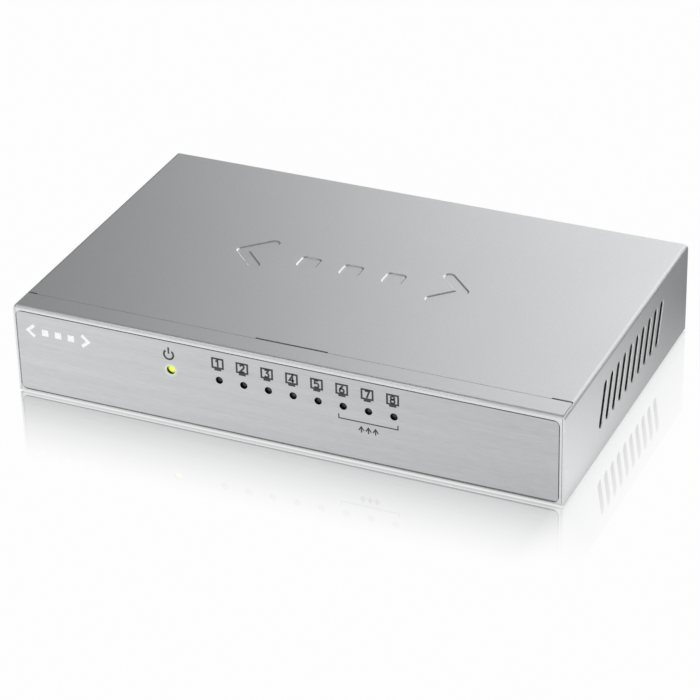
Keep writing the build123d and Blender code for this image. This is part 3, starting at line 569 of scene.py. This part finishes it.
def panel_symbol(ink):
    """White symbol at the left: angle brackets round three blocks."""
    marks = Print("panel_symbol", "black_plastic")
    left = LABEL_LOW.x + 2.8 * MM
    width, height, stroke = 16.0 * MM, 3.0 * MM, 0.8 * MM
    middle = LABEL_HIGH.z - 4.7 * MM
    arm = height / 2
    for tip, back in ((left, left + arm * 1.15), (left + width, left + width - arm * 1.15)):
        marks.stroke([(back, middle + arm), (tip, middle), (back, middle - arm)], stroke)
    side = 1.7 * MM
    for i in (-1, 0, 1):
        x = left + width / 2 + i * 3.4 * MM
        marks.box(x - side / 2, x + side / 2, middle - side / 2, middle + side / 2)
    return marks.finish(ink)


# ------------------------------------------------------------ studio

MIRROR_SHARE = 0.72
MIRROR_REACH = 0.026
SIDE_MIRROR_SHARE = MIRROR_SHARE * 0.5
SIDE_MIRROR_REACH = MIRROR_REACH * 0.8
FLOOR_WHITE = 0.985
# Table glow just under the case's edge: a painted contact shadow.
CONTACT_SHADE_WHITE = 0.36
WORLD_GLOW = 0.14
DOME_RADIUS = 7.5
TABLE_HALF = 8.0
TABLE_LIGHT_HALF = 3.0
CARD_TOP = 0.9
BACK_CARD_Y = 0.45
FRONT_CARD_Y = -1.0


def emitter(name, strength, clear=False):
    """Plain glowing card: strength is a number or a shader value; a clear card lets light through."""
    s = Shader(name)
    glow = s.add("ShaderNodeEmission")
    glow.inputs["Color"].default_value = grey(1.0)
    s.feed(glow.inputs["Strength"], strength(s) if callable(strength) else strength)
    surface = glow
    if clear:
        surface = s.add("ShaderNodeAddShader")
        s.feed(surface.inputs[0], glow.outputs[0])
        s.feed(surface.inputs[1], s.add("ShaderNodeBsdfTransparent").outputs[0])
    s.tree.links.new(surface.outputs[0], s.tree.nodes["Material Output"].inputs["Surface"])
    return s.material


def glossy_table():
    """White table that mirrors the case close to it and fades to plain white; dimmer under the case as a
    painted contact shadow.
    """
    s = Shader("table_white")
    gap_x = s.math("SUBTRACT", s.math("ABSOLUTE", s.axis("X")), SIDE_X)
    gap_y = s.math("SUBTRACT", s.math("ABSOLUTE", s.axis("Y")), CASE_HIGH.y)
    gap = s.math("MAXIMUM", gap_x, gap_y)
    reach = s.span(s.axis("X"), SIDE_X - 3 * MM, SIDE_X + 3 * MM, MIRROR_REACH, SIDE_MIRROR_REACH)
    fade = s.math("POWER", s.math("SUBTRACT", 1.0, s.math("DIVIDE", gap, reach), clamp=True), 1.5)
    outside = s.span(gap, -0.3 * MM, 0.2 * MM, 0.0, 1.0)
    share = s.span(s.axis("X"), SIDE_X - 3 * MM, SIDE_X + 3 * MM, MIRROR_SHARE, SIDE_MIRROR_SHARE)
    mirror = s.add("ShaderNodeBsdfGlossy")
    mirror.inputs["Roughness"].default_value = 0.04
    mirror.inputs["Color"].default_value = grey(1.0)
    paper = s.add("ShaderNodeEmission")
    paper.inputs["Color"].default_value = grey(1.0)
    # Painted contact shadow: the paper glow dims under the case's edge.
    s.feed(paper.inputs["Strength"], s.span(gap, -1.5 * MM, 0.0, CONTACT_SHADE_WHITE, FLOOR_WHITE))
    blend = s.add("ShaderNodeMixShader")
    polish = s.math("MULTIPLY", s.math("MULTIPLY", fade, outside), share)
    s.feed(blend.inputs[0], polish)
    s.feed(blend.inputs[1], paper.outputs[0])
    s.feed(blend.inputs[2], mirror.outputs[0])
    s.tree.links.new(blend.outputs[0], s.tree.nodes["Material Output"].inputs["Surface"])
    return s.material


def table_glow(s):
    """Light that the table throws back: weaker under the case and to the right rear."""
    front = s.span(s.axis("X"), -SIDE_X, SIDE_X, 1.06, 0.76)
    side = s.span(s.axis("Y"), -0.03, 0.06, 1.15, 0.2)
    beside = s.span(s.axis("X"), SIDE_X - 2 * MM, SIDE_X + 4 * MM, 0.0, 1.0)
    under = s.span(s.axis("Y"), FRONT_Y - 2 * MM, FRONT_Y, 1.0, 0.6)
    front = s.math("MULTIPLY", s.math("MULTIPLY", front, under), s.math("SUBTRACT", 1.0, beside))
    return s.math("ADD", front, s.math("MULTIPLY", side, beside))


def back_glow(s):
    """Card behind the case: dim at the left, rising steadily to the right."""
    return s.span(s.axis("X"), -0.34, 0.06, -0.05, 1.87)


def stage_piece(name, mesh, material, seen_by):
    """Stage object seen only by the named kinds of ray."""
    data = bpy.data.meshes.new(name)
    mesh.to_mesh(data)
    mesh.free()
    data.materials.append(material)
    piece = bpy.data.objects.new(name, data)
    for kind in ("camera", "diffuse", "glossy", "transmission", "shadow"):
        setattr(piece, "visible_" + kind, kind in seen_by)
    bpy.context.scene.collection.objects.link(piece)
    return piece


def add_card(name, corners, material, seen_by):
    mesh = bmesh.new()
    mesh.faces.new([mesh.verts.new(c) for c in corners])
    return stage_piece(name, mesh, material, seen_by)


def add_dome(name, material, seen_by):
    """Large sphere round the whole studio."""
    mesh = bmesh.new()
    bmesh.ops.create_uvsphere(mesh, u_segments=48, v_segments=24, radius=DOME_RADIUS)
    return stage_piece(name, mesh, material, seen_by)


def square(half, z):
    return [(-half, -half, z), (half, -half, z), (half, half, z), (-half, half, z)]


def upright(x0, x1, y, z0):
    return [(x0, y, z0), (x1, y, z0), (x1, y, CARD_TOP), (x0, y, CARD_TOP)]


def add_softbox(name, place, aim, size, power):
    light = bpy.data.lights.new(name, "AREA")
    light.shape = "RECTANGLE"
    light.size, light.size_y = size
    light.energy = power
    holder = bpy.data.objects.new(name, light)
    holder.location = place
    holder.rotation_mode = "QUATERNION"
    holder.rotation_quaternion = (Vector(aim) - Vector(place)).to_track_quat("-Z", "Y")
    holder.visible_camera = False
    bpy.context.scene.collection.objects.link(holder)
    return holder


def link_light(lamp, table, link_state):
    """INCLUDE: the lamp lights only the table. EXCLUDE: it lights everything else."""
    group = bpy.data.collections.new(lamp.name + "_receivers")
    group.objects.link(table)
    group.collection_objects[0].light_linking.link_state = link_state
    lamp.light_linking.receiver_collection = group


def add_studio():
    """White table and surround, three glowing cards and two soft boxes in front."""
    world = bpy.data.worlds.new("studio")
    world.use_nodes = True
    world.node_tree.nodes["Background"].inputs["Color"].default_value = grey(1.0)
    world.node_tree.nodes["Background"].inputs["Strength"].default_value = WORLD_GLOW
    bpy.context.scene.world = world
    on_object = ("diffuse", "glossy", "transmission", "shadow")
    table = add_card("table", square(TABLE_HALF, 0.0), glossy_table(), ("camera",))
    below = square(TABLE_LIGHT_HALF, -0.05 * MM)
    add_card("table_light", below, emitter("table_light", table_glow), on_object)
    add_dome("surround", emitter("surround", FLOOR_WHITE), ("camera",))
    overhead = add_dome("overhead", emitter("overhead", FLOOR_WHITE - WORLD_GLOW, clear=True), ("glossy",))
    link_light(overhead, table, "INCLUDE")
    cards = (("back_card", upright(-0.6, 0.06, BACK_CARD_Y, 0.0), back_glow),
             ("side_card", upright(0.06, 0.5, BACK_CARD_Y, 0.1), 1.33),
             ("front_card", upright(-1.2, 0.5, FRONT_CARD_Y, 0.0), 0.45))
    for name, corners, glow in cards:
        link_light(add_card(name, corners, emitter(name, glow, clear=True), on_object), table, "EXCLUDE")
    over_front = add_softbox("over_front", (-0.3, -0.45, 0.75), (0, 0, 0.02), (0.6, 0.6), 0.85)
    right_front = add_softbox("right_front", (0.4, -0.75, 0.12), (0.07, 0, 0.02), (0.6, 0.22), 2.9)
    link_light(over_front, table, "EXCLUDE")
    link_light(right_front, table, "EXCLUDE")


# ------------------------------------------------------------ build

bpy.context.scene.view_settings.view_transform = "Standard"
add_camera()
add_studio()
dress_nodes()
dark_ink = printed_ink("dark_ink", 0.035)
white_ink = printed_ink("white_ink", 0.92)
port_icons(dark_ink)
power_icon(dark_ink)
priority_bracket(dark_ink)
panel_symbol(white_ink)
